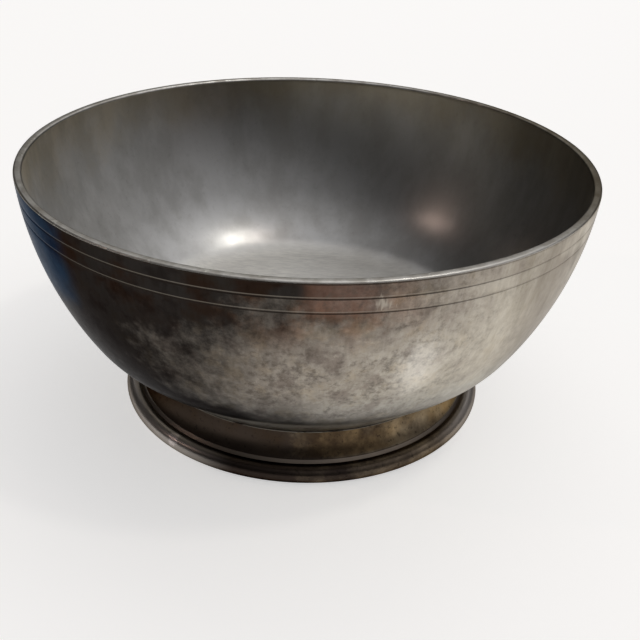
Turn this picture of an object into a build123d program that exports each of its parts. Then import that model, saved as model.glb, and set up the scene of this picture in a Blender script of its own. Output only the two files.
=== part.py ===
from build123d import *
import math
import os

# A footed pewter bowl: a turned bowl, a moulded foot ring and the solder between them.
# The origin is at the centre of the resting ring, with +Z up. Millimetres and degrees.

# Bowl, outside
RIM_DIAMETER = 130.0
HEIGHT = 60.6
WALL_LEAN = 3.5           # lean of the wall at the rim, from upright
BELLY_DIAMETER = 103.2    # where the wall turns in to the underside
BELLY_HEIGHT = 21.7
BELLY_TURN_RADIUS = 20.0
RIM_EASE = 0.5            # rounding of both edges of the flat rim

# Incised lines
FIRST_LINE_DROP = 3.4     # below the rim
SECOND_LINE_DROP = 6.4
LINE_WIDTH = 0.9
LINE_DEPTH = 0.2

# Bowl, inside and underneath
RIM_WALL = 1.8
BELLY_WALL = 2.4
FLOOR_THICKNESS = 3.0
FLOOR_TURN_RADIUS = 10.0  # round turn between wall and floor
UNDERSIDE_RECESS = 2.5    # height of the hollow disc above the seat
RECESS_SLOPE = 1.5        # run of the recess's sloping edge

# Seat of the foot under the bowl
SEAT_DIAMETER = 78.0
SEAT_HEIGHT = 11.0
SEAT_WIDTH = 3.4

# Foot ring
FOOT_SPREAD = 3.7         # from the seat's edge out to the edge of the resting face
FLANGE_OVERHANG = 1.6     # from there out to the flange's widest point
FLANGE_HEIGHT = 2.8       # height of that point
RESTING_WIDTH = 3.2
LEDGE_SETBACK = 1.7       # from the resting face's edge in to the ledge's
LEDGE_HEIGHT = 4.3
LEDGE_WIDTH = 0.7
LEDGE_DROP = 0.35
NECK_LAND = 0.3           # plain neck left bare below the solder

# Solder
SOLDER_FILM = 0.2
SOLDER_LAND = 0.5         # how far the solder reaches out from the neck
SOLDER_DROP = 0.6         # how far it runs down the neck

# Places shared by more than one piece
SEAT_RADIUS = SEAT_DIAMETER / 2
SEAT_INNER_RADIUS = SEAT_RADIUS - SEAT_WIDTH
NECK_RADIUS = SEAT_RADIUS - SOLDER_LAND
NECK_TOP = SEAT_HEIGHT - SOLDER_FILM
SOLDER_END = NECK_TOP - SOLDER_DROP


def turned(edges, rounded_corners=()):
    """Revolve a closed outline of (radius, height) edges, with some of its corners rounded."""
    face = make_face(edges).face()
    for point, radius in rounded_corners:
        corner = face.vertices().sort_by_distance(point)[0]
        face = face.fillet_2d(radius, [corner])
    return revolve(Plane.XZ * face, axis=Axis.Z)


def wall_arc(rim, belly):
    """The bowed wall, leaving the rim at its lean and ending at the belly."""
    lean = math.radians(WALL_LEAN)
    return TangentArc(rim, belly, tangent=(-math.sin(lean), -math.cos(lean)))


def incised_line(outer_wall, drop):
    """The ring that cuts one V line into the outer wall, this far below the rim."""
    z = HEIGHT - drop
    centre = outer_wall.arc_center
    wall_radius = centre.X + math.sqrt(outer_wall.radius ** 2 - (z - centre.Y) ** 2)
    outer = wall_radius + LINE_DEPTH
    tip = (wall_radius - LINE_DEPTH, z)
    return turned(Polyline((outer, z - LINE_WIDTH), (outer, z + LINE_WIDTH), tip, close=True))


def make_bowl():
    rim_outer = (RIM_DIAMETER / 2, HEIGHT)
    rim_inner = (RIM_DIAMETER / 2 - RIM_WALL, HEIGHT)
    belly = (BELLY_DIAMETER / 2, BELLY_HEIGHT)
    seat_outer = (SEAT_RADIUS, SEAT_HEIGHT)
    seat_inner = (SEAT_INNER_RADIUS, SEAT_HEIGHT)

    # The underside between belly and seat is a cone, and the inside runs parallel to it.
    cone = math.atan2(belly[0] - seat_outer[0], belly[1] - seat_outer[1])
    inner_belly = (belly[0] - BELLY_WALL * math.cos(cone), belly[1] + BELLY_WALL * math.sin(cone))
    recess_top = SEAT_HEIGHT + UNDERSIDE_RECESS
    floor = recess_top + FLOOR_THICKNESS
    floor_edge = (inner_belly[0] - (inner_belly[1] - floor) * math.tan(cone), floor)

    outer_wall = wall_arc(rim_outer, belly)
    inner_wall = wall_arc(rim_inner, inner_belly)
    outline = [
        outer_wall,
        Polyline(belly, seat_outer, seat_inner, (SEAT_INNER_RADIUS - RECESS_SLOPE, recess_top),
                 (0, recess_top), (0, floor), floor_edge, inner_belly),
        inner_wall,
        Line(rim_inner, rim_outer),
    ]
    bowl = turned(outline, [
        (rim_outer, RIM_EASE),
        (rim_inner, RIM_EASE),
        (belly, BELLY_TURN_RADIUS),
        (inner_belly, BELLY_TURN_RADIUS - BELLY_WALL),
        (floor_edge, FLOOR_TURN_RADIUS),
    ])
    for drop in (FIRST_LINE_DROP, SECOND_LINE_DROP):
        bowl -= incised_line(outer_wall, drop)
    return bowl


def make_foot_ring():
    top_inner = (SEAT_INNER_RADIUS, NECK_TOP)
    top_outer = (NECK_RADIUS, NECK_TOP)
    neck_end = (NECK_RADIUS, SOLDER_END - NECK_LAND)
    base_radius = SEAT_RADIUS + FOOT_SPREAD
    ledge_radius = base_radius - LEDGE_SETBACK
    ledge_inner = (ledge_radius - LEDGE_WIDTH, LEDGE_HEIGHT)
    ledge_outer = (ledge_radius, LEDGE_HEIGHT)
    flange_top = (ledge_radius, LEDGE_HEIGHT - LEDGE_DROP)
    flange_edge = (base_radius + FLANGE_OVERHANG, FLANGE_HEIGHT)
    base_outer = (base_radius, 0)
    base_inner = (base_radius - RESTING_WIDTH, 0)
    return turned([
        Polyline(top_inner, top_outer, neck_end),
        TangentArc(neck_end, ledge_inner, tangent=(0, -1)),
        Polyline(ledge_inner, ledge_outer, flange_top),
        ThreePointArc(flange_top, flange_edge, base_outer),
        Polyline(base_outer, base_inner, top_inner),
    ])


def make_solder_joint():
    """A film on top of the foot, and a hollow fillet in the corner outside the neck."""
    fillet_end = (NECK_RADIUS, SOLDER_END)
    seat_edge = (SEAT_RADIUS, SEAT_HEIGHT)
    return turned([
        TangentArc(fillet_end, seat_edge, tangent=(0, 1)),
        Polyline(seat_edge, (SEAT_INNER_RADIUS, SEAT_HEIGHT), (SEAT_INNER_RADIUS, NECK_TOP),
                 (NECK_RADIUS, NECK_TOP), fillet_end),
    ])


os.makedirs("parts", exist_ok=True)
export_step(make_bowl(), "parts/bowl.step")
export_step(make_foot_ring(), "parts/foot_ring.step")
export_step(make_solder_joint(), "parts/solder_joint.step")
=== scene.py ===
import math

import bpy
from mathutils import Matrix, Vector


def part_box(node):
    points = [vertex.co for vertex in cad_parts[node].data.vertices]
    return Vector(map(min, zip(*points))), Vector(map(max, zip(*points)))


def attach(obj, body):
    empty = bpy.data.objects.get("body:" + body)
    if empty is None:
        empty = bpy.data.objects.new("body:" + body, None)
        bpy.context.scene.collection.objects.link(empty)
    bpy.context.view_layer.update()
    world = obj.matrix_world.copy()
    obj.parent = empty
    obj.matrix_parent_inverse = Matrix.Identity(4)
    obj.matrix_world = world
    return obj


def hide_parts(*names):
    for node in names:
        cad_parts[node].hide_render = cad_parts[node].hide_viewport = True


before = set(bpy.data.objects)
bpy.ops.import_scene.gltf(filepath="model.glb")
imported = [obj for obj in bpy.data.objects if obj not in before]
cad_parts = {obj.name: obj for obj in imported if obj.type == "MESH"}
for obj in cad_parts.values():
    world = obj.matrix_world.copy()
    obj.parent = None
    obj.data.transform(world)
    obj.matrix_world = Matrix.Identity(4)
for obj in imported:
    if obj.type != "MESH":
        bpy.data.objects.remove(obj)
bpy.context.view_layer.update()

# An old pewter bowl on a soldered foot ring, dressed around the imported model.
# Sizes are in millimetres, as in the part, and turned to metres where a mesh or a pattern is made.
MM = 0.001


def node_reach(node):
    """A turned node's widest radius, its bottom and its top, from the frame."""
    low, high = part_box(node)
    return high.x / MM, low.z / MM, high.z / MM


# Sizes that the frame gives
SEAT_HEIGHT, HEIGHT = node_reach("bowl")[1:]
FOOT_RADIUS, FOOT_BOTTOM, NECK_TOP = node_reach("foot_ring")
SEAT_RADIUS, SOLDER_END = node_reach("solder_joint")[:2]

# Bowl
RIM_RADIUS = 65.0
RIM_WALL = 1.8
RIM_EASE = 0.5
WALL_LEAN = math.radians(3.5)
BELLY = Vector((51.6, 21.7))
BELLY_TURN = 2.7            # how far before the belly its round turn starts
BELLY_WALL = 2.4
INNER_TURN = 6.5            # the same inside, where the turn is longer and softer
FLOOR = 16.5
FLOOR_TURN_RADIUS = 10.0
RECESS_TOP = 13.5
RECESS_SLOPE = 1.5
SEAT_WIDTH = 3.4

# Incised lines
LINE_DROPS = (3.4, 6.4)     # below the rim
LINE_WIDTH = 0.7
LINE_DEPTH = 0.1

# Foot ring
NECK_RADIUS = 38.5
NECK_END = 9.9
LEDGE_RADIUS = 41.0
LEDGE_HEIGHT = 4.3
LEDGE_WIDTH = 0.7
LEDGE_SLOPE = 0.55          # how much of its width is worn to a slope
LEDGE_DROP = 0.7
LEDGE_EASE = 0.1
FLANGE_EDGE = Vector((44.3, 2.8))
BASE_RADIUS = 42.7
BASE_EASE = 0.3
RESTING_WIDTH = 3.2

# Fineness of the meshes
SIDES = 288                 # around the axis
WALL_STEPS = 40
LINE_STEPS = 8
TURN_STEPS = 10
EASE_STEPS = 5
MERGE_DISTANCE = 0.001
SHARP_ANGLE = 40            # edges sharper than this, in degrees, keep their crease


# Outlines are lists of (radius, height) points

def arc(start, heading, end, steps):
    """The points after start on the round stretch that leaves it along heading and ends at end."""
    side = Vector((-heading.y, heading.x))
    chord = end - start
    centre = start + side * (chord.length_squared / (2 * chord.dot(side)))
    turn = 2 * math.atan2(chord.dot(side), chord.dot(heading))
    spoke = start - centre
    return [centre + Matrix.Rotation(turn * step / steps, 2) @ spoke for step in range(1, steps + 1)]


def turn_into(start, heading, corner, leaving, steps):
    """The round stretch that leaves start along heading and runs smoothly into the line through corner."""
    reach = (corner - start).cross(leaving) / heading.cross(leaving)
    return arc(start, heading, start + (heading + leaving) * reach, steps)


def eased(before, corner, after, radius):
    """A corner between two straight runs, rounded to this radius."""
    coming = (corner - before).normalized()
    leaving = (after - corner).normalized()
    cut = radius * math.tan(coming.angle(leaving) / 2)
    start = corner - coming * cut
    return [start] + turn_into(start, coming, corner, leaving, EASE_STEPS)


class Wall:
    """One face of the bowed wall, an arc that leaves the rim at its lean and ends at the belly."""

    def __init__(self, rim, belly):
        heading = Vector((-math.sin(WALL_LEAN), -math.cos(WALL_LEAN)))
        side = Vector((heading.y, -heading.x))
        chord = belly - rim
        self.radius = chord.length_squared / (2 * chord.dot(side))
        self.centre = rim + side * self.radius

    def at(self, height):
        """The point at this height."""
        rise = height - self.centre.y
        return Vector((self.centre.x + math.sqrt(self.radius ** 2 - rise ** 2), height))

    def heading(self, height):
        """The way down the wall at this height."""
        spoke = (self.at(height) - self.centre).normalized()
        return Vector((spoke.y, -spoke.x))


def line_cut(height):
    """How deep the incised lines cut the wall at this height."""
    depth = 0
    for drop in LINE_DROPS:
        share = (height - (HEIGHT - drop)) / LINE_WIDTH
        if abs(share) < 0.5:
            depth += LINE_DEPTH * (1 + math.cos(math.tau * share)) / 2
    return depth


def outer_heights(top, bottom):
    """Heights down the outer wall, closer together across the incised lines."""
    heights = [top + (bottom - top) * step / WALL_STEPS for step in range(WALL_STEPS + 1)]
    for drop in LINE_DROPS:
        line = HEIGHT - drop
        heights = [height for height in heights if abs(height - line) > LINE_WIDTH / 2]
        heights += [line + LINE_WIDTH * (step / LINE_STEPS - 0.5) for step in range(LINE_STEPS + 1)]
    return sorted(heights, reverse=True)


def rim_edge(wall, inward):
    """The rounded edge from the wall up to the flat of the rim."""
    start = wall.at(HEIGHT - RIM_EASE)
    top = Vector((0, HEIGHT))
    return turn_into(start, -wall.heading(start.y), top, inward, EASE_STEPS)


def bowl_outline():
    """From the middle of the underside, out and up to the rim, and down to the middle of the floor."""
    seat_outer = Vector((SEAT_RADIUS, SEAT_HEIGHT))
    cone_up = (BELLY - seat_outer).normalized()
    inward = Vector((-cone_up.y, cone_up.x))
    inner_belly = BELLY + inward * BELLY_WALL

    outer = Wall(Vector((RIM_RADIUS, HEIGHT)), BELLY)
    belly_start = outer.at(BELLY.y + BELLY_TURN)
    outside = [outer.at(height) - Vector((line_cut(height), 0))
               for height in outer_heights(HEIGHT - RIM_EASE, belly_start.y)]
    outside += turn_into(belly_start, outer.heading(belly_start.y), BELLY, -cone_up, TURN_STEPS)
    outside += [seat_outer]

    inner = Wall(Vector((RIM_RADIUS - RIM_WALL, HEIGHT)), inner_belly)
    turn_start = inner.at(inner_belly.y + INNER_TURN)
    drop = HEIGHT - RIM_EASE - turn_start.y
    inside = [inner.at(HEIGHT - RIM_EASE - drop * step / WALL_STEPS) for step in range(WALL_STEPS + 1)]
    inside += turn_into(turn_start, inner.heading(turn_start.y), inner_belly, -cone_up, TURN_STEPS)
    floor_edge = inner_belly - cone_up * ((inner_belly.y - FLOOR) / cone_up.y)
    to_middle = Vector((-1, 0))
    floor_cut = FLOOR_TURN_RADIUS * math.tan((-cone_up).angle(to_middle) / 2)
    floor_turn = floor_edge + cone_up * floor_cut
    inside += [floor_turn]
    inside += turn_into(floor_turn, -cone_up, floor_edge, to_middle, TURN_STEPS)

    seat_inner = SEAT_RADIUS - SEAT_WIDTH
    underside = [
        Vector((0, RECESS_TOP)),
        Vector((seat_inner - RECESS_SLOPE, RECESS_TOP)),
        Vector((seat_inner, SEAT_HEIGHT)),
    ]
    rim = rim_edge(outer, Vector((-1, 0)))
    rim += list(reversed(rim_edge(inner, Vector((1, 0)))))
    return underside + list(reversed(outside)) + rim + inside + [Vector((0, FLOOR))]


def foot_outline():
    """From the top of the neck, down the moulding to the resting face and up the inside."""
    seat_inner = SEAT_RADIUS - SEAT_WIDTH
    top_inner = Vector((seat_inner, NECK_TOP))
    neck_end = Vector((NECK_RADIUS, NECK_END))
    ledge_inner = Vector((LEDGE_RADIUS - LEDGE_WIDTH, LEDGE_HEIGHT))
    ledge_outer = Vector((LEDGE_RADIUS - LEDGE_SLOPE, LEDGE_HEIGHT))
    flange_top = Vector((LEDGE_RADIUS, LEDGE_HEIGHT - LEDGE_DROP))
    base_outer = Vector((BASE_RADIUS, FOOT_BOTTOM))
    base_inner = Vector((BASE_RADIUS - RESTING_WIDTH, FOOT_BOTTOM))

    # The flange bulges out to its edge: its arc leaves the ledge at the angle that the edge asks for.
    # Its last two points give way to the eased corner.
    across = base_outer - flange_top
    half_turn = math.pi - (flange_top - FLANGE_EDGE).angle(base_outer - FLANGE_EDGE)
    leaving = (Matrix.Rotation(half_turn, 2) @ across).normalized()
    flange = arc(flange_top, leaving, base_outer, 2 * TURN_STEPS)[:-2]

    outline = [top_inner, Vector((NECK_RADIUS, NECK_TOP)), neck_end]
    outline += arc(neck_end, Vector((0, -1)), ledge_inner, TURN_STEPS)
    outline += eased(ledge_inner, ledge_outer, flange_top, LEDGE_EASE)
    outline += [flange_top] + flange
    outline += eased(flange[-1], base_outer, base_inner, BASE_EASE)
    outline += eased(base_outer, base_inner, top_inner, BASE_EASE)
    return outline + [top_inner]


def solder_outline():
    """The film on top of the foot, and the hollow fillet in the corner outside the neck."""
    seat_inner = SEAT_RADIUS - SEAT_WIDTH
    fillet_end = Vector((NECK_RADIUS, SOLDER_END))
    seat_edge = Vector((SEAT_RADIUS, SEAT_HEIGHT))
    film_inner = Vector((seat_inner, NECK_TOP))
    outline = [film_inner, Vector((NECK_RADIUS, NECK_TOP)), fillet_end]
    outline += arc(fillet_end, Vector((0, 1)), seat_edge, TURN_STEPS)
    return outline + [Vector((seat_inner, SEAT_HEIGHT)), film_inner]


def turned(name, outline):
    """A turned piece: its outline is drawn as a chain of edges and spun about the axis."""
    bpy.ops.object.select_all(action="DESELECT")
    start = outline[0] * MM
    bpy.ops.mesh.primitive_plane_add(size=MM, location=(start.x, 0, start.y))
    piece = bpy.context.object
    piece.name = name
    bpy.ops.object.mode_set(mode="EDIT")
    bpy.ops.mesh.select_all(action="SELECT")
    bpy.ops.mesh.merge(type="CENTER")
    for here, there in zip(outline, outline[1:]):
        step = (there - here) * MM
        bpy.ops.mesh.extrude_region_move(TRANSFORM_OT_translate={"value": (step.x, 0, step.y)})
    bpy.ops.mesh.select_all(action="SELECT")
    bpy.ops.mesh.spin(steps=SIDES, angle=math.tau, center=(0, 0, 0), axis=(0, 0, 1))
    bpy.ops.mesh.select_all(action="SELECT")
    bpy.ops.mesh.remove_doubles(threshold=MERGE_DISTANCE * MM)
    bpy.ops.mesh.normals_make_consistent(inside=False)
    bpy.ops.object.mode_set(mode="OBJECT")
    bpy.ops.object.transform_apply(location=True, rotation=True, scale=True)
    bpy.ops.object.shade_smooth_by_angle(angle=math.radians(SHARP_ANGLE))
    return piece


# Materials

# Azimuths in degrees, from +X
TARNISH_AND_SHADE_SIDE = 192          # where the tarnish and the painted shade are thickest
HIGHLIGHT_STREAK_AZIMUTH = 291.0         # the painted highlight streak on the wall
STAIN_AZIMUTH = 276         # the copper stain under the rim
SCRAPE_AZIMUTH = 282.6      # the scraped patch between the incised lines
HIGHLIGHT_SPOT_AZIMUTH = 229         # the painted highlight spot on the flange

# Heights between which a pattern sets in, from where it starts to where it is full
# Under the rim and at the belly, the tarnish and the painted shade reach further round
RIM_TARNISH_AND_SHADE = (43, 55)
BELLY_TARNISH_AND_SHADE = (BELLY.y + 7, BELLY.y + 1)
CLEAR_CONE = (BELLY.y, BELLY.y - 4)
# Where the painted blue reflection lies
BLUE_REFLECTION = (34, 44)
COPPER_STAIN = (52.5, 54.5)
COOL_METAL = (35, 24)
BROWN_INSIDE = (56, 72)     # of the height after the clouds have raised it
CLOUD_RISE = 22             # by up to this much
SCOURED_FLOOR = (FLOOR + 3, FLOOR)
# Above the ledge, where the golden patches, a painted reflection, set in
GOLD_REFLECTION_NECK = (LEDGE_HEIGHT, LEDGE_HEIGHT + 0.5)

# How much each pattern adds to the tarnish and painted shade, the painted blue reflection's edge, the
# specks, the relief and the roughness
FURTHER_ROUND = 0.28
CLOUD_SHARE = 0.55
MOTTLE_SHARE = 0.5
BLUE_REFLECTION_SHARE = 0.2
DRIFT_SHARE = 0.5
RELIEF_SHARE = 0.6
FOOT_CLOUD_SHARE = 2.2
STREAK_ROUGHNESS = 0.03

# Marks on the bowl and its foot
BAND_EDGE = 0.4             # softness of the upper band's lower edge
# The painted highlight streak on the wall
HIGHLIGHT_STREAK_HEIGHT = 38.5
HIGHLIGHT_STREAK_RADIUS = 60.1
HIGHLIGHT_STREAK_SQUASH = 0.5            # its height counts half, so it stands upright
# The painted highlight spot on the flange
HIGHLIGHT_SPOT_RADIUS = FLANGE_EDGE.x - 0.5
HIGHLIGHT_SPOT_HEIGHT = FLANGE_EDGE.y + 0.7

# Grime and painted shade, painted highlights and wear at the incised lines and the ledge: how far from its
# own middle each sets in and is full
GRIME_AND_SHADE_DROP = 0.14           # the middle of the grime and painted shade lies this far below the middle of a line
GRIME_AND_SHADE_EDGE = (0.2, 0.04)
HIGHLIGHT_RISE = 0.22          # and the painted highlight's this far above it
HIGHLIGHT_EDGE = (0.2, 0.05)
SLOPE_EDGE = (0.6, 0.35)

# Stretch of the patterns that run one way: a smaller number makes them longer
UPRIGHT_MARKS = (1, 1, 0.14)
UPRIGHT_STREAKS = (1, 1, 0.5)
SPOON_STROKES = (0.25, 1, 1)
STROKE_ANGLE = 35           # degrees
WAVE_SCALE = math.tau / 20  # the scale at which a wave texture's rings are one unit apart


def direction(azimuth, elevation):
    """The direction at this azimuth from +X and elevation above the floor, in degrees."""
    azimuth = math.radians(azimuth)
    elevation = math.radians(elevation)
    level = math.cos(elevation)
    return Vector((level * math.cos(azimuth), level * math.sin(azimuth), math.sin(elevation)))


def colour(code):
    """An sRGB hex colour as linear red, green, blue and alpha."""
    parts = [int(code[place:place + 2], 16) / 255 for place in (1, 3, 5)]
    linear = [part / 12.92 if part <= 0.04045 else ((part + 0.055) / 1.055) ** 2.4 for part in parts]
    return (*linear, 1)


def per(size):
    """The scale at which one cell of a pattern is this many millimetres."""
    return 1 / (size * MM)


def add(tree, kind, settings={}, sockets={}):
    """One node with its settings and its sockets, each of them a value or another node's output."""
    node = tree.nodes.new(kind)
    for name, value in settings.items():
        setattr(node, name, value)
    for name, value in sockets.items():
        if isinstance(value, bpy.types.NodeSocket):
            tree.links.new(value, node.inputs[name])
        else:
            node.inputs[name].default_value = value
    return node


# A Mix node's sockets for colours, by number, because their names repeat
FACTOR, FIRST, SECOND, RESULT = 0, 6, 7, 2

# Settings that many nodes share
SMOOTH = {"interpolation_type": "SMOOTHSTEP"}
BLEND = {"data_type": "RGBA"}
TINT = {"data_type": "RGBA", "blend_type": "MULTIPLY"}
DARKEN = {"data_type": "RGBA", "blend_type": "DARKEN"}
LIGHTEN = {"data_type": "RGBA", "blend_type": "ADD"}

# What turns a place on the bowl into its share of the way from the axis to the side of the tarnish and the
# painted shade
ACROSS = direction(TARNISH_AND_SHADE_SIDE, 0) / (RIM_RADIUS * MM)


def new_material(name):
    """An empty material, its nodes and the place on the piece that its patterns read."""
    material = bpy.data.materials.new(name)
    material.use_nodes = True
    tree = material.node_tree
    tree.nodes.clear()
    place = add(tree, "ShaderNodeTexCoord").outputs["Object"]
    return material, tree, place


def spot(azimuth, radius, height):
    """The middle of a mark, in metres."""
    return (direction(azimuth, 0) * radius + Vector((0, 0, height))) * MM


def mark(tree, place, middle, pattern, ragged, edge, strength):
    """How strongly a mark shows round its middle. The pattern brings a place nearer by up to ragged, and
    the mark sets in at the first distance of its edge and is full at the second, in millimetres."""
    away = add(tree, "ShaderNodeVectorMath", {"operation": "DISTANCE"}, {
        0: place, 1: middle}).outputs["Value"]
    nearer = add(tree, "ShaderNodeMath", {"operation": "MULTIPLY_ADD"}, {
        0: pattern, 1: -ragged * MM, 2: away}).outputs[0]
    return add(tree, "ShaderNodeMapRange", SMOOTH, {
        "Value": nearer, "From Min": edge[0] * MM, "From Max": edge[1] * MM,
        "To Max": strength}).outputs["Result"]


def from_axis(tree, place):
    """How far a place is from the axis."""
    flat = add(tree, "ShaderNodeVectorMath", {"operation": "MULTIPLY"}, {0: place, 1: (1, 1, 0)}).outputs[0]
    return add(tree, "ShaderNodeVectorMath", {"operation": "LENGTH"}, {0: flat}).outputs["Value"]


def aged_outside():
    """Turned pewter that has been handled for generations. It is dull and warm grey, brown to black
    tarnish lies on it in clouds, fine dark specks and pale scuffs show, and its soft gloss blurs what
    it mirrors. Painted shade deepens the tarnish on one side, under the rim and at the belly, for the dark
    surroundings that the metal mirrors there. The other side is painted paler for the lit floor that it
    mirrors. A painted blue reflection lies near the rim, a painted highlight streak on the wall and
    painted highlights above the incised lines."""
    material, tree, place = new_material("aged_turned_pewter")
    height = add(tree, "ShaderNodeSeparateXYZ", {}, {0: place}).outputs["Z"]

    # Tarnish and painted shade are thickest on one side. Real tarnish lies in clouds and mottling, and
    # painted shade darkens that side for the dark surroundings that it mirrors. Both reach further round
    # under the rim, above the first line most of all, and at the belly, and they spare the cone below the
    # belly.
    across = add(tree, "ShaderNodeVectorMath", {"operation": "DOT_PRODUCT"}, {
        0: place, 1: ACROSS}).outputs["Value"]
    under_rim = add(tree, "ShaderNodeMapRange", SMOOTH, {
        "Value": height, "From Min": RIM_TARNISH_AND_SHADE[0] * MM,
        "From Max": RIM_TARNISH_AND_SHADE[1] * MM}).outputs["Result"]
    at_belly = add(tree, "ShaderNodeMapRange", SMOOTH, {
        "Value": height, "From Min": BELLY_TARNISH_AND_SHADE[0] * MM,
        "From Max": BELLY_TARNISH_AND_SHADE[1] * MM}).outputs["Result"]
    further = add(tree, "ShaderNodeMath", {"operation": "ADD"}, {0: under_rim, 1: at_belly}).outputs[0]
    first_line = HEIGHT - LINE_DROPS[0]
    top_band = add(tree, "ShaderNodeMapRange", SMOOTH, {
        "Value": height, "From Min": (first_line - BAND_EDGE) * MM,
        "From Max": (first_line + BAND_EDGE) * MM, "To Max": 0.16}).outputs["Result"]
    banded = add(tree, "ShaderNodeMath", {"operation": "ADD"}, {0: top_band, 1: across}).outputs[0]
    reach = add(tree, "ShaderNodeMath", {"operation": "MULTIPLY_ADD"}, {
        0: further, 1: FURTHER_ROUND, 2: banded}).outputs[0]
    clouds = add(tree, "ShaderNodeTexNoise", {}, {
        "Vector": place, "Scale": per(13), "Detail": 3.0, "Roughness": 0.55}).outputs["Fac"]
    mottling = add(tree, "ShaderNodeTexNoise", {}, {
        "Vector": place, "Scale": per(2.6), "Detail": 6.0, "Roughness": 0.72}).outputs["Fac"]
    cloudy = add(tree, "ShaderNodeMath", {"operation": "MULTIPLY_ADD"}, {
        0: clouds, 1: CLOUD_SHARE, 2: reach}).outputs[0]
    mottled = add(tree, "ShaderNodeMath", {"operation": "MULTIPLY_ADD"}, {
        0: mottling, 1: MOTTLE_SHARE, 2: cloudy}).outputs[0]
    spared = add(tree, "ShaderNodeMapRange", SMOOTH, {
        "Value": height, "From Min": CLEAR_CONE[1] * MM, "From Max": CLEAR_CONE[0] * MM,
        "To Min": 1.5, "To Max": 0.5}).outputs["Result"]
    tarnish_and_shade = add(tree, "ShaderNodeMath", {"operation": "SUBTRACT"}, {0: mottled, 1: spared}).outputs[0]
    dull = add(tree, "ShaderNodeMapRange", {}, {
        "Value": tarnish_and_shade, "From Min": -0.4, "From Max": 0.25}).outputs["Result"]
    dark = add(tree, "ShaderNodeMapRange", SMOOTH, {
        "Value": tarnish_and_shade, "From Min": 0.08, "From Max": 0.72}).outputs["Result"]
    bare_side = add(tree, "ShaderNodeMapRange", SMOOTH, {
        "Value": across, "From Min": -0.3, "From Max": -0.65}).outputs["Result"]
    one_side_blend = add(tree, "ShaderNodeMapRange", SMOOTH, {
        "Value": clouds, "From Min": 0.28, "From Max": 0.55, "To Max": bare_side}).outputs["Result"]
    dulled = add(tree, "ShaderNodeMath", {"operation": "MAXIMUM"}, {0: dull, 1: one_side_blend}).outputs[0]
    # Painted light and shade: where the tarnish and painted shade are thin, the metal is painted pale, on
    # the side that mirrors the lit floor. Where they are thick, it is painted dark.
    rubbed_and_lit = add(tree, "ShaderNodeMix", BLEND, {
        FACTOR: dulled, FIRST: colour("#d4cec1"), SECOND: colour("#9c948a")}).outputs[RESULT]
    tarnished_and_shaded = add(tree, "ShaderNodeMix", BLEND, {
        FACTOR: dark, FIRST: rubbed_and_lit, SECOND: colour("#2b2826")}).outputs[RESULT]

    # A painted blue reflection lies near the rim, where the tarnish and painted shade are thickest.
    high_up = add(tree, "ShaderNodeMapRange", SMOOTH, {
        "Value": height, "From Min": BLUE_REFLECTION[0] * MM, "From Max": BLUE_REFLECTION[1] * MM,
        "To Max": 0.9}).outputs["Result"]
    ragged = add(tree, "ShaderNodeMath", {"operation": "MULTIPLY_ADD"}, {
        0: clouds, 1: BLUE_REFLECTION_SHARE, 2: across}).outputs[0]
    painted_blue_reflection = add(tree, "ShaderNodeMapRange", SMOOTH, {
        "Value": ragged, "From Min": 0.88, "From Max": 1.0, "To Max": high_up}).outputs["Result"]
    with_blue_reflection = add(tree, "ShaderNodeMix", BLEND, {
        FACTOR: painted_blue_reflection, FIRST: tarnished_and_shaded, SECOND: colour("#31373f")}).outputs[RESULT]

    # Coppery patches under the rim, and one stain above the lines
    patches = add(tree, "ShaderNodeTexNoise", {}, {
        "Vector": place, "Scale": per(8), "Detail": 4.0, "Roughness": 0.6}).outputs["Fac"]
    darker_side = add(tree, "ShaderNodeMapRange", SMOOTH, {
        "Value": across, "From Min": -0.2, "From Max": 0.1, "To Max": under_rim}).outputs["Result"]
    coppery = add(tree, "ShaderNodeMapRange", SMOOTH, {
        "Value": patches, "From Min": 0.4, "From Max": 0.62, "To Max": darker_side}).outputs["Result"]
    coppered = add(tree, "ShaderNodeMix", TINT, {
        FACTOR: coppery, FIRST: with_blue_reflection, SECOND: colour("#f4d0bb")}).outputs[RESULT]
    above_lines = add(tree, "ShaderNodeMapRange", SMOOTH, {
        "Value": height, "From Min": COPPER_STAIN[0] * MM, "From Max": COPPER_STAIN[1] * MM,
        "To Max": 0.45}).outputs["Result"]
    stain = mark(tree, place, spot(STAIN_AZIMUTH, RIM_RADIUS, first_line), patches,
                 ragged=9, edge=(5, -1), strength=above_lines)
    stained = add(tree, "ShaderNodeMix", BLEND, {
        FACTOR: stain, FIRST: coppered, SECOND: colour("#86675a")}).outputs[RESULT]

    # Upright polishing marks, drawn coarser than real ones so that they show, and on the bare side the
    # swathes that a cloth leaves
    upright = add(tree, "ShaderNodeMapping", {}, {"Vector": place, "Scale": UPRIGHT_MARKS}).outputs[0]
    marks = add(tree, "ShaderNodeTexNoise", {}, {
        "Vector": upright, "Scale": per(0.7), "Detail": 2.0}).outputs["Fac"]
    marked = add(tree, "ShaderNodeMapRange", {}, {
        "Value": marks, "From Min": 0.35, "From Max": 0.65, "To Max": 0.35}).outputs["Result"]
    finely = add(tree, "ShaderNodeMix", TINT, {
        FACTOR: marked, FIRST: stained, SECOND: colour("#d8d3cb")}).outputs[RESULT]
    swathes = add(tree, "ShaderNodeTexNoise", {}, {
        "Vector": upright, "Scale": per(6), "Detail": 3.0, "Roughness": 0.5}).outputs["Fac"]
    wiped = add(tree, "ShaderNodeMapRange", SMOOTH, {
        "Value": swathes, "From Min": 0.42, "From Max": 0.62, "To Max": bare_side}).outputs["Result"]
    polished = add(tree, "ShaderNodeMix", TINT, {
        FACTOR: wiped, FIRST: finely, SECOND: colour("#cecbc3")}).outputs[RESULT]

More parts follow.
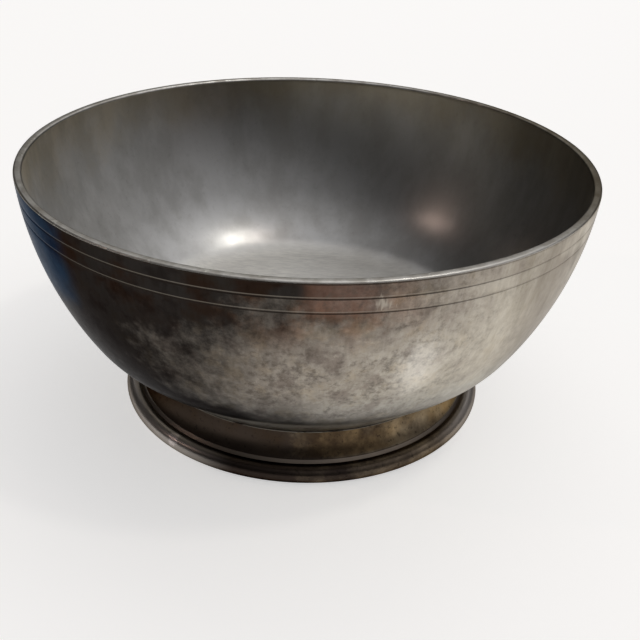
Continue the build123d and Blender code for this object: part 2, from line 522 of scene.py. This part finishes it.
    # Dark specks in drifts, tints between them and a few pale scuffs, all fewer on the bare side
    spread = add(tree, "ShaderNodeMapRange", SMOOTH, {
        "Value": across, "From Min": -0.6, "From Max": 0.1, "To Min": 0.18,
        "To Max": 0.75}).outputs["Result"]
    half_spread = add(tree, "ShaderNodeMath", {"operation": "MULTIPLY"}, {0: spread, 1: 0.5}).outputs[0]
    drifts = add(tree, "ShaderNodeTexNoise", {}, {
        "Vector": place, "Scale": per(9), "Detail": 3.0}).outputs["Fac"]
    grain = add(tree, "ShaderNodeTexNoise", {}, {
        "Vector": place, "Scale": per(1.5), "Detail": 5.0, "Roughness": 0.72}).outputs["Fac"]
    drifting = add(tree, "ShaderNodeMath", {"operation": "MULTIPLY_ADD"}, {
        0: drifts, 1: DRIFT_SHARE, 2: grain}).outputs[0]
    specks = add(tree, "ShaderNodeMapRange", SMOOTH, {
        "Value": drifting, "From Min": 0.7, "From Max": 1.02, "To Max": spread}).outputs["Result"]
    tints = add(tree, "ShaderNodeTexNoise", {}, {
        "Vector": place, "Scale": per(5.5), "Detail": 5.0, "Roughness": 0.65}).outputs["Fac"]
    golden = add(tree, "ShaderNodeMapRange", SMOOTH, {
        "Value": tints, "From Min": 0.5, "From Max": 0.68, "To Max": half_spread}).outputs["Result"]
    gilded = add(tree, "ShaderNodeMix", TINT, {
        FACTOR: golden, FIRST: polished, SECOND: colour("#fff0d4")}).outputs[RESULT]
    violet = add(tree, "ShaderNodeMapRange", SMOOTH, {
        "Value": tints, "From Min": 0.5, "From Max": 0.34, "To Max": spread}).outputs["Result"]
    tinted = add(tree, "ShaderNodeMix", TINT, {
        FACTOR: violet, FIRST: gilded, SECOND: colour("#cfc8c8")}).outputs[RESULT]
    specked = add(tree, "ShaderNodeMix", DARKEN, {
        FACTOR: specks, FIRST: tinted, SECOND: colour("#524a43")}).outputs[RESULT]
    open_metal = add(tree, "ShaderNodeMapRange", {}, {
        "Value": dark, "From Min": 0.0, "From Max": 0.5, "To Min": half_spread,
        "To Max": 0.0}).outputs["Result"]
    scuffs = add(tree, "ShaderNodeMapRange", SMOOTH, {
        "Value": drifting, "From Min": 0.62, "From Max": 0.5, "To Max": open_metal}).outputs["Result"]
    scuffed = add(tree, "ShaderNodeMix", BLEND, {
        FACTOR: scuffs, FIRST: specked, SECOND: colour("#c4bcae")}).outputs[RESULT]

    # The lower wall is cooler in colour, and above it lies one painted highlight, a bright streak on the
    # wall.
    lower = add(tree, "ShaderNodeMapRange", SMOOTH, {
        "Value": height, "From Min": COOL_METAL[0] * MM,
        "From Max": COOL_METAL[1] * MM}).outputs["Result"]
    cooled = add(tree, "ShaderNodeMix", TINT, {
        FACTOR: lower, FIRST: scuffed, SECOND: colour("#edf3fa")}).outputs[RESULT]
    squat = add(tree, "ShaderNodeVectorMath", {"operation": "MULTIPLY"}, {
        0: place, 1: (1, 1, HIGHLIGHT_STREAK_SQUASH)}).outputs[0]
    painted_highlight_streak = mark(tree, squat, spot(HIGHLIGHT_STREAK_AZIMUTH, HIGHLIGHT_STREAK_RADIUS, HIGHLIGHT_STREAK_HEIGHT * HIGHLIGHT_STREAK_SQUASH), mottling,
               ragged=10, edge=(2.0, -4.5), strength=1.0)
    with_highlight_streak = add(tree, "ShaderNodeMix", LIGHTEN, {
        FACTOR: painted_highlight_streak, FIRST: cooled, SECOND: colour("#8b8b89")}).outputs[RESULT]

    # A small scraped patch between the incised lines
    between = HEIGHT - (LINE_DROPS[0] + LINE_DROPS[1]) / 2
    scrape = mark(tree, place, spot(SCRAPE_AZIMUTH, RIM_RADIUS, between), marks,
                  ragged=8, edge=(-2.2, -4), strength=0.5)
    scraped = add(tree, "ShaderNodeMix", BLEND, {
        FACTOR: scrape, FIRST: with_highlight_streak, SECOND: colour("#c8c0b2")}).outputs[RESULT]

    # Both incised lines hold grime, darkened further as painted shade on their lower slopes, and above each
    # a painted highlight brightens the upper edge. The lines are a step apart, so the height is wrapped by
    # that step and one pattern serves both.
    step = LINE_DROPS[1] - LINE_DROPS[0]
    line = HEIGHT - LINE_DROPS[1]
    wrapped = add(tree, "ShaderNodeMath", {"operation": "WRAP"}, {
        0: height, 1: (line + step / 2) * MM, 2: (line - step / 2) * MM}).outputs[0]
    lined = add(tree, "ShaderNodeMath", {"operation": "GREATER_THAN"}, {
        0: height, 1: (line - step / 2) * MM}).outputs[0]
    off_line = add(tree, "ShaderNodeMath", {"operation": "SUBTRACT"}, {0: wrapped, 1: line * MM}).outputs[0]
    below = add(tree, "ShaderNodeMath", {"operation": "ADD"}, {0: off_line, 1: GRIME_AND_SHADE_DROP * MM}).outputs[0]
    in_line = add(tree, "ShaderNodeMath", {"operation": "ABSOLUTE"}, {0: below}).outputs[0]
    grime_and_shade_strength = add(tree, "ShaderNodeMapRange", SMOOTH, {
        "Value": across, "From Min": -0.6, "From Max": 0.1, "To Min": 0.25,
        "To Max": 0.85}).outputs["Result"]
    grime_and_shade = add(tree, "ShaderNodeMapRange", SMOOTH, {
        "Value": in_line, "From Min": GRIME_AND_SHADE_EDGE[0] * MM, "From Max": GRIME_AND_SHADE_EDGE[1] * MM,
        "To Max": grime_and_shade_strength}).outputs["Result"]
    above = add(tree, "ShaderNodeMath", {"operation": "SUBTRACT"}, {
        0: off_line, 1: HIGHLIGHT_RISE * MM}).outputs[0]
    on_edge = add(tree, "ShaderNodeMath", {"operation": "ABSOLUTE"}, {0: above}).outputs[0]
    painted_highlight_edge = add(tree, "ShaderNodeMapRange", SMOOTH, {
        "Value": on_edge, "From Min": HIGHLIGHT_EDGE[0] * MM, "From Max": HIGHLIGHT_EDGE[1] * MM,
        "To Max": 0.35}).outputs["Result"]
    highlight_here = add(tree, "ShaderNodeMath", {"operation": "MULTIPLY"}, {
        0: painted_highlight_edge, 1: lined}).outputs[0]
    grime_and_shade_here = add(tree, "ShaderNodeMath", {"operation": "MULTIPLY"}, {0: grime_and_shade, 1: lined}).outputs[0]
    highlighted = add(tree, "ShaderNodeMix", BLEND, {
        FACTOR: highlight_here, FIRST: scraped, SECOND: colour("#a79f92")}).outputs[RESULT]
    base = add(tree, "ShaderNodeMix", BLEND, {
        FACTOR: grime_and_shade_here, FIRST: highlighted, SECOND: colour("#2c2622")}).outputs[RESULT]

    # Thick tarnish, and the painted shade with it, also swallows the bright gloss that bare metal has seen
    # edge on, and the painted blue reflection tints that gloss blue.
    less_gloss = add(tree, "ShaderNodeMix", BLEND, {
        FACTOR: dark, FIRST: colour("#eeebe6"), SECOND: colour("#b6b5b5")}).outputs[RESULT]
    edge_gloss = add(tree, "ShaderNodeMix", BLEND, {
        FACTOR: painted_blue_reflection, FIRST: less_gloss, SECOND: colour("#a6b0bf")}).outputs[RESULT]
    roughness = add(tree, "ShaderNodeMapRange", {}, {
        "Value": mottling, "From Min": 0.3, "From Max": 0.7, "To Min": 0.29,
        "To Max": 0.38}).outputs["Result"]
    sunk = add(tree, "ShaderNodeMath", {"operation": "MULTIPLY"}, {0: specks, 1: -1.0}).outputs[0]
    relief = add(tree, "ShaderNodeMath", {"operation": "MULTIPLY_ADD"}, {
        0: mottling, 1: RELIEF_SHARE, 2: sunk}).outputs[0]
    bump = add(tree, "ShaderNodeBump", {}, {
        "Strength": 0.3, "Distance": 0.04 * MM, "Height": relief})
    shader = add(tree, "ShaderNodeBsdfPrincipled", {}, {
        "Base Color": base, "Metallic": 1.0, "Roughness": roughness, "Specular Tint": edge_gloss,
        "Normal": bump.outputs[0]})
    add(tree, "ShaderNodeOutputMaterial", {}, {"Surface": shader.outputs[0]})
    return material


def satin_inside():
    """Scoured pewter, paler and cleaner than the outside: a satin grey that drifts in soft upright streaks,
    brown near the rim, and rougher and paler on the floor, where spoons have scratched it. One side is
    hazed rougher and painted paler as painted light, and the floor is painted paler on that side too."""
    material, tree, place = new_material("satin_scoured_pewter")
    height = add(tree, "ShaderNodeSeparateXYZ", {}, {0: place}).outputs["Z"]
    upright = add(tree, "ShaderNodeMapping", {}, {"Vector": place, "Scale": UPRIGHT_STREAKS}).outputs[0]
    streaks = add(tree, "ShaderNodeTexNoise", {}, {
        "Vector": upright, "Scale": per(11), "Detail": 5.0, "Roughness": 0.6}).outputs["Fac"]
    dull = add(tree, "ShaderNodeMapRange", SMOOTH, {
        "Value": streaks, "From Min": 0.36, "From Max": 0.64}).outputs["Result"]
    grey = add(tree, "ShaderNodeMix", BLEND, {
        FACTOR: dull, FIRST: colour("#b6b5b2"), SECOND: colour("#a5a39f")}).outputs[RESULT]

    # One side is dulled by a rougher haze and painted paler there, a painted light.
    across = add(tree, "ShaderNodeVectorMath", {"operation": "DOT_PRODUCT"}, {
        0: place, 1: ACROSS}).outputs["Value"]
    haze_and_painted_light = add(tree, "ShaderNodeMapRange", SMOOTH, {
        "Value": across, "From Min": 0.1, "From Max": 0.85}).outputs["Result"]
    lit_hazy_grey = add(tree, "ShaderNodeMix", BLEND, {
        FACTOR: dull, FIRST: colour("#eae9e6"), SECOND: colour("#d0cfcb")}).outputs[RESULT]
    one_side_blend = add(tree, "ShaderNodeMix", BLEND, {
        FACTOR: haze_and_painted_light, FIRST: grey, SECOND: lit_hazy_grey}).outputs[RESULT]

    # Brown tarnish hangs below the rim in patches.
    clouds = add(tree, "ShaderNodeTexNoise", {}, {
        "Vector": place, "Scale": per(16), "Detail": 4.0, "Roughness": 0.6}).outputs["Fac"]
    hanging = add(tree, "ShaderNodeMath", {"operation": "MULTIPLY_ADD"}, {
        0: clouds, 1: CLOUD_RISE * MM, 2: height}).outputs[0]
    brown = add(tree, "ShaderNodeMapRange", SMOOTH, {
        "Value": hanging, "From Min": BROWN_INSIDE[0] * MM,
        "From Max": BROWN_INSIDE[1] * MM}).outputs["Result"]
    browned = add(tree, "ShaderNodeMix", TINT, {
        FACTOR: brown, FIRST: one_side_blend, SECOND: colour("#f4ead6")}).outputs[RESULT]

    # Faint specks all over, and scratches on the floor, drawn coarser than real ones so that they show
    grain = add(tree, "ShaderNodeTexNoise", {}, {
        "Vector": place, "Scale": per(1.2), "Detail": 3.0, "Roughness": 0.6}).outputs["Fac"]
    specks = add(tree, "ShaderNodeMapRange", SMOOTH, {
        "Value": grain, "From Min": 0.55, "From Max": 0.75, "To Max": 0.12}).outputs["Result"]
    specked = add(tree, "ShaderNodeMix", BLEND, {
        FACTOR: specks, FIRST: browned, SECOND: colour("#6b675f")}).outputs[RESULT]
    on_floor = add(tree, "ShaderNodeMapRange", SMOOTH, {
        "Value": height, "From Min": SCOURED_FLOOR[0] * MM,
        "From Max": SCOURED_FLOOR[1] * MM}).outputs["Result"]
    stroke = add(tree, "ShaderNodeMapping", {}, {
        "Vector": place, "Rotation": (0, 0, math.radians(STROKE_ANGLE)),
        "Scale": SPOON_STROKES}).outputs[0]
    scratches = add(tree, "ShaderNodeTexNoise", {}, {
        "Vector": stroke, "Scale": per(0.7), "Detail": 3.0, "Roughness": 0.6}).outputs["Fac"]
    # Painted light: the scoured floor is paler on the side of the painted light.
    painted_light_floor_side = add(tree, "ShaderNodeMapRange", {}, {
        "Value": across, "From Min": -0.6, "From Max": 0.0, "To Min": 0.4, "To Max": 1.0}).outputs["Result"]
    scoured = add(tree, "ShaderNodeMath", {"operation": "MULTIPLY"}, {
        0: on_floor, 1: painted_light_floor_side}).outputs[0]
    scratched = add(tree, "ShaderNodeMapRange", {}, {
        "Value": scratches, "From Min": -0.7, "From Max": 0.65, "To Max": scoured}).outputs["Result"]
    base = add(tree, "ShaderNodeMix", BLEND, {
        FACTOR: scratched, FIRST: specked, SECOND: colour("#fbf9f3")}).outputs[RESULT]

    # The haze and the scoured floor are rougher.
    duller = add(tree, "ShaderNodeMapRange", {}, {
        "Value": haze_and_painted_light, "To Min": 0.285, "To Max": 0.52}).outputs["Result"]
    worn = add(tree, "ShaderNodeMapRange", {}, {
        "Value": on_floor, "To Min": duller, "To Max": 0.7}).outputs["Result"]
    roughness = add(tree, "ShaderNodeMath", {"operation": "MULTIPLY_ADD"}, {
        0: dull, 1: STREAK_ROUGHNESS, 2: worn}).outputs[0]
    bump = add(tree, "ShaderNodeBump", {}, {
        "Strength": 0.15, "Distance": 0.05 * MM, "Height": streaks})
    shader = add(tree, "ShaderNodeBsdfPrincipled", {}, {
        "Base Color": base, "Metallic": 1.0, "Roughness": roughness, "Normal": bump.outputs[0]})
    add(tree, "ShaderNodeOutputMaterial", {}, {"Surface": shader.outputs[0]})
    return material


def worn_rim():
    """The flat of the rim, worn to a silvery satin by lips and hands, with grey patches and small bright
    nicks. Its outer edge carries a painted highlight on one side. It is browner on the bare side."""
    material, tree, place = new_material("worn_rim_pewter")
    clouds = add(tree, "ShaderNodeTexNoise", {}, {
        "Vector": place, "Scale": per(6), "Detail": 4.0, "Roughness": 0.65}).outputs["Fac"]
    dull = add(tree, "ShaderNodeMapRange", SMOOTH, {
        "Value": clouds, "From Min": 0.36, "From Max": 0.66}).outputs["Result"]
    satin = add(tree, "ShaderNodeMix", BLEND, {
        FACTOR: dull, FIRST: colour("#d6d3cc"), SECOND: colour("#b0aba2")}).outputs[RESULT]
    chips = add(tree, "ShaderNodeTexNoise", {}, {
        "Vector": place, "Scale": per(2.2), "Detail": 2.0}).outputs["Fac"]
    nicks = add(tree, "ShaderNodeMapRange", SMOOTH, {
        "Value": chips, "From Min": 0.64, "From Max": 0.7}).outputs["Result"]
    nicked = add(tree, "ShaderNodeMix", BLEND, {
        FACTOR: nicks, FIRST: satin, SECOND: colour("#dedbd2")}).outputs[RESULT]

    # Painted highlight: the outer edge is painted bright on one side, along its rounding.
    radius = from_axis(tree, place)
    across = add(tree, "ShaderNodeVectorMath", {"operation": "DOT_PRODUCT"}, {
        0: place, 1: ACROSS}).outputs["Value"]
    highlight_side = add(tree, "ShaderNodeMapRange", SMOOTH, {
        "Value": across, "From Min": 0.1, "From Max": -0.2}).outputs["Result"]
    painted_highlight_edge = add(tree, "ShaderNodeMapRange", SMOOTH, {
        "Value": radius, "From Min": (RIM_RADIUS - RIM_EASE) * MM,
        "From Max": (RIM_RADIUS - RIM_EASE / 2) * MM, "To Max": highlight_side}).outputs["Result"]
    highlighted = add(tree, "ShaderNodeMix", BLEND, {
        FACTOR: painted_highlight_edge, FIRST: nicked, SECOND: colour("#d6d2ca")}).outputs[RESULT]

    # The bare side is browner.
    far_side = add(tree, "ShaderNodeMapRange", SMOOTH, {
        "Value": across, "From Min": -0.5, "From Max": -0.9}).outputs["Result"]
    base = add(tree, "ShaderNodeMix", TINT, {
        FACTOR: far_side, FIRST: highlighted, SECOND: colour("#b9b4ab")}).outputs[RESULT]
    roughness = add(tree, "ShaderNodeMapRange", {}, {
        "Value": dull, "To Min": 0.29, "To Max": 0.4}).outputs["Result"]
    bump = add(tree, "ShaderNodeBump", {}, {
        "Strength": 0.6, "Distance": 0.06 * MM, "Height": chips})
    shader = add(tree, "ShaderNodeBsdfPrincipled", {}, {
        "Base Color": base, "Metallic": 1.0, "Roughness": roughness, "Specular Tint": colour("#8e8a84"),
        "Normal": bump.outputs[0]})
    add(tree, "ShaderNodeOutputMaterial", {}, {"Surface": shader.outputs[0]})
    return material


def lathe_turned_underside():
    """The hidden underside, left as the lathe cut it: dull grey with tool rings round the middle. They are
    drawn coarser than real ones so that they show."""
    material, tree, place = new_material("lathe_turned_pewter")
    rings = add(tree, "ShaderNodeTexWave", {"wave_type": "RINGS", "rings_direction": "Z"}, {
        "Vector": place, "Scale": per(1.1) * WAVE_SCALE, "Distortion": 0.4,
        "Detail": 2.0}).outputs["Fac"]
    clouds = add(tree, "ShaderNodeTexNoise", {}, {
        "Vector": place, "Scale": per(9), "Detail": 5.0, "Roughness": 0.65}).outputs["Fac"]
    dull = add(tree, "ShaderNodeMapRange", SMOOTH, {
        "Value": clouds, "From Min": 0.35, "From Max": 0.65}).outputs["Result"]
    grey = add(tree, "ShaderNodeMix", BLEND, {
        FACTOR: dull, FIRST: colour("#938d83"), SECOND: colour("#6a6259")}).outputs[RESULT]
    ringed = add(tree, "ShaderNodeMapRange", {}, {"Value": rings, "To Max": 0.5}).outputs["Result"]
    base = add(tree, "ShaderNodeMix", TINT, {
        FACTOR: ringed, FIRST: grey, SECOND: colour("#c8c4bc")}).outputs[RESULT]
    roughness = add(tree, "ShaderNodeMapRange", {}, {
        "Value": dull, "To Min": 0.38, "To Max": 0.52}).outputs["Result"]
    bump = add(tree, "ShaderNodeBump", {}, {
        "Strength": 0.6, "Distance": 0.04 * MM, "Height": rings})
    shader = add(tree, "ShaderNodeBsdfPrincipled", {}, {
        "Base Color": base, "Metallic": 1.0, "Roughness": roughness, "Normal": bump.outputs[0]})
    add(tree, "ShaderNodeOutputMaterial", {}, {"Surface": shader.outputs[0]})
    return material


def brown_foot():
    """Pewter gone brown where nobody polishes it: a deep brown gloss with dark specks, darker towards the
    side of the painted shade, golden in places above the ledge as a painted reflection, with a paler line
    where the ledge is rubbed that also paints in its highlight, flange sides painted paler as a painted
    reflection and one painted highlight spot on the flange. The tarnish swallows the bright gloss that bare
    metal has seen edge on."""
    material, tree, place = new_material("brown_tarnished_pewter")
    height = add(tree, "ShaderNodeSeparateXYZ", {}, {0: place}).outputs["Z"]
    # The foot is browner and darker towards the side of the tarnish and the painted shade, partly real
    # tarnish and partly painted shade.
    across = add(tree, "ShaderNodeVectorMath", {"operation": "DOT_PRODUCT"}, {
        0: place, 1: direction(TARNISH_AND_SHADE_SIDE, 0) / (FOOT_RADIUS * MM)}).outputs["Value"]
    clouds = add(tree, "ShaderNodeTexNoise", {}, {
        "Vector": place, "Scale": per(9), "Detail": 5.0, "Roughness": 0.65}).outputs["Fac"]
    cloudy = add(tree, "ShaderNodeMath", {"operation": "MULTIPLY_ADD"}, {
        0: clouds, 1: FOOT_CLOUD_SHARE, 2: across}).outputs[0]
    brown = add(tree, "ShaderNodeMapRange", SMOOTH, {
        "Value": cloudy, "From Min": 0.0, "From Max": 1.35}).outputs["Result"]
    deep = add(tree, "ShaderNodeMix", BLEND, {
        FACTOR: brown, FIRST: colour("#a8977c"), SECOND: colour("#413831")}).outputs[RESULT]
    # Golden patches above the ledge are a painted reflection.
    patches = add(tree, "ShaderNodeTexNoise", {}, {
        "Vector": place, "Scale": per(14), "Detail": 3.0}).outputs["Fac"]
    above_ledge = add(tree, "ShaderNodeMapRange", {}, {
        "Value": height, "From Min": GOLD_REFLECTION_NECK[0] * MM, "From Max": GOLD_REFLECTION_NECK[1] * MM,
        "To Max": 0.7}).outputs["Result"]
    golden = add(tree, "ShaderNodeMapRange", SMOOTH, {
        "Value": patches, "From Min": 0.45, "From Max": 0.65, "To Max": above_ledge}).outputs["Result"]
    gilded = add(tree, "ShaderNodeMix", TINT, {
        FACTOR: golden, FIRST: deep, SECOND: colour("#f6e2bf")}).outputs[RESULT]
    grain = add(tree, "ShaderNodeTexNoise", {}, {
        "Vector": place, "Scale": per(1.0), "Detail": 3.0, "Roughness": 0.65}).outputs["Fac"]
    specks = add(tree, "ShaderNodeMapRange", SMOOTH, {
        "Value": grain, "From Min": 0.55, "From Max": 0.7, "To Max": 0.6}).outputs["Result"]
    specked = add(tree, "ShaderNodeMix", BLEND, {
        FACTOR: specks, FIRST: gilded, SECOND: colour("#2a2420")}).outputs[RESULT]

    # The flange is darkest. At both sides it is painted paler and greyer, a painted reflection, and one
    # small pale spot on it is a painted highlight.
    on_flange = add(tree, "ShaderNodeMath", {"operation": "LESS_THAN"}, {
        0: height, 1: LEDGE_HEIGHT * MM}).outputs[0]
    darkest = add(tree, "ShaderNodeMix", TINT, {
        FACTOR: on_flange, FIRST: specked, SECOND: colour("#dad9df")}).outputs[RESULT]
    sideways = add(tree, "ShaderNodeMath", {"operation": "ABSOLUTE"}, {0: across}).outputs[0]
    painted_reflection_sides = add(tree, "ShaderNodeMapRange", SMOOTH, {
        "Value": sideways, "From Min": 0.5, "From Max": 0.85, "To Max": on_flange}).outputs["Result"]
    with_reflection_sides = add(tree, "ShaderNodeMix", BLEND, {
        FACTOR: painted_reflection_sides, FIRST: darkest, SECOND: colour("#b0a9a2")}).outputs[RESULT]
    painted_highlight_spot = mark(tree, place, spot(HIGHLIGHT_SPOT_AZIMUTH, HIGHLIGHT_SPOT_RADIUS, HIGHLIGHT_SPOT_HEIGHT), grain,
                 ragged=2, edge=(1.0, 0.0), strength=0.9)
    with_highlight_spot = add(tree, "ShaderNodeMix", BLEND, {
        FACTOR: painted_highlight_spot, FIRST: with_reflection_sides, SECOND: colour("#e0d6d2")}).outputs[RESULT]

    # The worn slope of the ledge is rubbed paler, and that paler line also paints in the ledge's highlight.
    radius = from_axis(tree, place)
    profile = add(tree, "ShaderNodeCombineXYZ", {}, {"X": radius, "Z": height}).outputs[0]
    slope = Vector((LEDGE_RADIUS - LEDGE_SLOPE / 2, 0, LEDGE_HEIGHT - LEDGE_DROP / 2)) * MM
    off_slope = add(tree, "ShaderNodeVectorMath", {"operation": "DISTANCE"}, {
        0: profile, 1: slope}).outputs["Value"]
    rubbed_and_lit = add(tree, "ShaderNodeMapRange", SMOOTH, {
        "Value": off_slope, "From Min": SLOPE_EDGE[0] * MM, "From Max": SLOPE_EDGE[1] * MM,
        "To Max": 0.8}).outputs["Result"]
    base = add(tree, "ShaderNodeMix", BLEND, {
        FACTOR: rubbed_and_lit, FIRST: with_highlight_spot, SECOND: colour("#857a6e")}).outputs[RESULT]
    roughness = add(tree, "ShaderNodeMapRange", {}, {
        "Value": clouds, "From Min": 0.3, "From Max": 0.7, "To Min": 0.29,
        "To Max": 0.4}).outputs["Result"]
    bump = add(tree, "ShaderNodeBump", {}, {
        "Strength": 0.5, "Distance": 0.05 * MM, "Height": grain})
    shader = add(tree, "ShaderNodeBsdfPrincipled", {}, {
        "Base Color": base, "Metallic": 1.0, "Roughness": roughness, "Specular Tint": colour("#8e8a84"),
        "Normal": bump.outputs[0]})
    add(tree, "ShaderNodeOutputMaterial", {}, {"Surface": shader.outputs[0]})
    return material


def drawn_solder():
    """Old solder, dull grey and softer in gloss than the pewter, with dark flux left in places along the
    seam."""
    material, tree, place = new_material("old_solder")
    runs = add(tree, "ShaderNodeTexNoise", {}, {
        "Vector": place, "Scale": per(5), "Detail": 4.0, "Roughness": 0.6}).outputs["Fac"]
    flux = add(tree, "ShaderNodeMapRange", SMOOTH, {
        "Value": runs, "From Min": 0.5, "From Max": 0.62}).outputs["Result"]
    base = add(tree, "ShaderNodeMix", BLEND, {
        FACTOR: flux, FIRST: colour("#807b72"), SECOND: colour("#3b332d")}).outputs[RESULT]
    roughness = add(tree, "ShaderNodeMapRange", {}, {
        "Value": runs, "From Min": 0.3, "From Max": 0.7, "To Min": 0.3, "To Max": 0.5}).outputs["Result"]
    bump = add(tree, "ShaderNodeBump", {}, {
        "Strength": 0.6, "Distance": 0.1 * MM, "Height": runs})
    shader = add(tree, "ShaderNodeBsdfPrincipled", {}, {
        "Base Color": base, "Metallic": 1.0, "Roughness": roughness, "Normal": bump.outputs[0]})
    add(tree, "ShaderNodeOutputMaterial", {}, {"Surface": shader.outputs[0]})
    return material


def dress(piece, materials, choose):
    """Give the piece its materials, and each face the one that choose names by its number."""
    for material in materials:
        piece.data.materials.append(material)
    for face in piece.data.polygons:
        face.material_index = choose(face.center / MM, face.normal)


OUTSIDE, INSIDE, RIM, UNDERSIDE = range(4)
RIM_FACING = 0.2            # a face of the rim looks up more than this
FLOOR_FACING = 0.9          # and a face of the outside less than this
SEAT_MARGIN = 0.01          # a face this near the seat's height belongs to the underside


def bowl_zone(place, normal):
    """Which part of the bowl a face belongs to."""
    radius = math.hypot(place.x, place.y)
    outward = normal.x * place.x + normal.y * place.y
    if place.z > HEIGHT - RIM_EASE and normal.z > RIM_FACING:
        return RIM
    if place.z < SEAT_HEIGHT + SEAT_MARGIN or (radius < SEAT_RADIUS and normal.z < 0):
        return UNDERSIDE
    if outward > 0 and normal.z < FLOOR_FACING:
        return OUTSIDE
    return INSIDE


bowl = turned("pewter_bowl", bowl_outline())
dress(bowl, [aged_outside(), satin_inside(), worn_rim(), lathe_turned_underside()], bowl_zone)
foot = turned("pewter_foot_ring", foot_outline())
dress(foot, [brown_foot()], lambda place, normal: 0)
solder = turned("solder_seam", solder_outline())
dress(solder, [drawn_solder()], lambda place, normal: 0)

for piece, node, slot in ((bowl, "bowl", "pewter_bowl"), (foot, "foot_ring", "pewter_foot"),
                          (solder, "solder_joint", "solder")):
    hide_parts(node)
    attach(piece, "root")


# Floor, light and camera

# A painted board, matt and even, so that only the bowl's soft shadow shows on it. It is whitened where it
# is seen or mirrored.
FLOOR_SPAN = 60.0           # metres, so that its far edge stays out of most views
FLOOR_WHITENING = 0.52
bpy.ops.object.select_all(action="DESELECT")
bpy.ops.mesh.primitive_plane_add(size=FLOOR_SPAN, location=(0, 0, 0))
floor = bpy.context.object
floor.name = "floor"
floor_material, floor_tree, _ = new_material("pale_board")
rays = add(floor_tree, "ShaderNodeLightPath").outputs
seen = add(floor_tree, "ShaderNodeMath", {"operation": "MAXIMUM"}, {
    0: rays["Is Camera Ray"], 1: rays["Is Glossy Ray"]}).outputs[0]
seen_through = add(floor_tree, "ShaderNodeMath", {"operation": "MAXIMUM"}, {
    0: seen, 1: rays["Is Transmission Ray"]}).outputs[0]
whitened = add(floor_tree, "ShaderNodeMath", {"operation": "MULTIPLY"}, {
    0: seen_through, 1: FLOOR_WHITENING}).outputs[0]
floor_shader = add(floor_tree, "ShaderNodeBsdfPrincipled", {}, {
    "Base Color": colour("#ece9e4"), "Roughness": 0.9, "Specular IOR Level": 0.2,
    "Emission Color": colour("#ffffff"), "Emission Strength": whitened})
add(floor_tree, "ShaderNodeOutputMaterial", {}, {"Surface": floor_shader.outputs[0]})
floor.data.materials.append(floor_material)

CEILING_AZIMUTH = 349       # where the overhead lamp hangs
CEILING_ELEVATION = 65
CEILING_RISE = 4            # how much higher the room's brightest part is


def lamp(name, azimuth, elevation, distance, size, power, code):
    """A round area lamp that faces the bowl."""
    way = direction(azimuth, elevation)
    data = bpy.data.lights.new(name, "AREA")
    data.shape = "DISK"
    data.size = size
    data.energy = power
    data.color = colour(code)[:3]
    made = bpy.data.objects.new(name, data)
    made.location = way * distance
    made.rotation_euler = way.to_track_quat("Z", "Y").to_euler()
    bpy.context.scene.collection.objects.link(made)


# Two small lamps overhead and a smaller warm one at the left make the bright spots inside the bowl. A broad
# faint one at the back keeps the rim from going dark.
lamp("key", azimuth=CEILING_AZIMUTH, elevation=CEILING_ELEVATION, distance=3.0, size=0.3, power=5.4,
     code="#fffdf8")
lamp("second", azimuth=333, elevation=71, distance=3.0, size=0.2, power=0.9, code="#ffeade")
lamp("warm", azimuth=189, elevation=34, distance=1.6, size=0.04, power=0.5, code="#ffe2d6")
lamp("back_fill", azimuth=88, elevation=44, distance=2.5, size=3.0, power=9.5, code="#ffffff")

# The room is brightest round the overhead lamp and falls off towards the sides.
ROOM_GLOW = 0.7
ROOM_LEVEL = 0.05
world = bpy.data.worlds.new("soft_room")
bpy.context.scene.world = world
world.use_nodes = True
world_tree = world.node_tree
world_tree.nodes.clear()
way = add(world_tree, "ShaderNodeTexCoord").outputs["Generated"]
facing = add(world_tree, "ShaderNodeVectorMath", {"operation": "DOT_PRODUCT"}, {
    0: way, 1: direction(CEILING_AZIMUTH, CEILING_ELEVATION + CEILING_RISE)}).outputs["Value"]
near = add(world_tree, "ShaderNodeMapRange", {}, {
    "Value": facing, "From Min": 0.2, "From Max": 0.95}).outputs["Result"]
fall = add(world_tree, "ShaderNodeMath", {"operation": "POWER"}, {0: near, 1: 2.0}).outputs[0]
level = add(world_tree, "ShaderNodeMath", {"operation": "MULTIPLY_ADD"}, {
    0: fall, 1: ROOM_GLOW, 2: ROOM_LEVEL}).outputs[0]
background = add(world_tree, "ShaderNodeBackground", {}, {"Color": colour("#fbfbff"), "Strength": level})
add(world_tree, "ShaderNodeOutputWorld", {}, {"Surface": background.outputs[0]})

# The camera stands where the photo's rim, incised lines, foot and sides fit best. Angles are in degrees.
CAMERA_PLACE = Vector((0, -208.0, 132.9))
CAMERA_YAW = -0.85
CAMERA_TILT = 60.16
CAMERA_ROLL = 2.32
camera_data = bpy.data.cameras.new("camera")
camera_data.sensor_width = 36
camera_data.lens = 53.435
camera_data.shift_x = 0.0065
camera_data.shift_y = 0.0193
camera = bpy.data.objects.new("camera", camera_data)
yaw = Matrix.Rotation(math.radians(CAMERA_YAW), 4, "Z")
tilt = Matrix.Rotation(math.radians(CAMERA_TILT), 4, "X")
roll = Matrix.Rotation(math.radians(CAMERA_ROLL), 4, "Z")
camera.matrix_world = Matrix.Translation(CAMERA_PLACE * MM) @ yaw @ tilt @ roll
bpy.context.scene.collection.objects.link(camera)
bpy.context.scene.camera = camera
bpy.context.scene.view_settings.view_transform = "Standard"
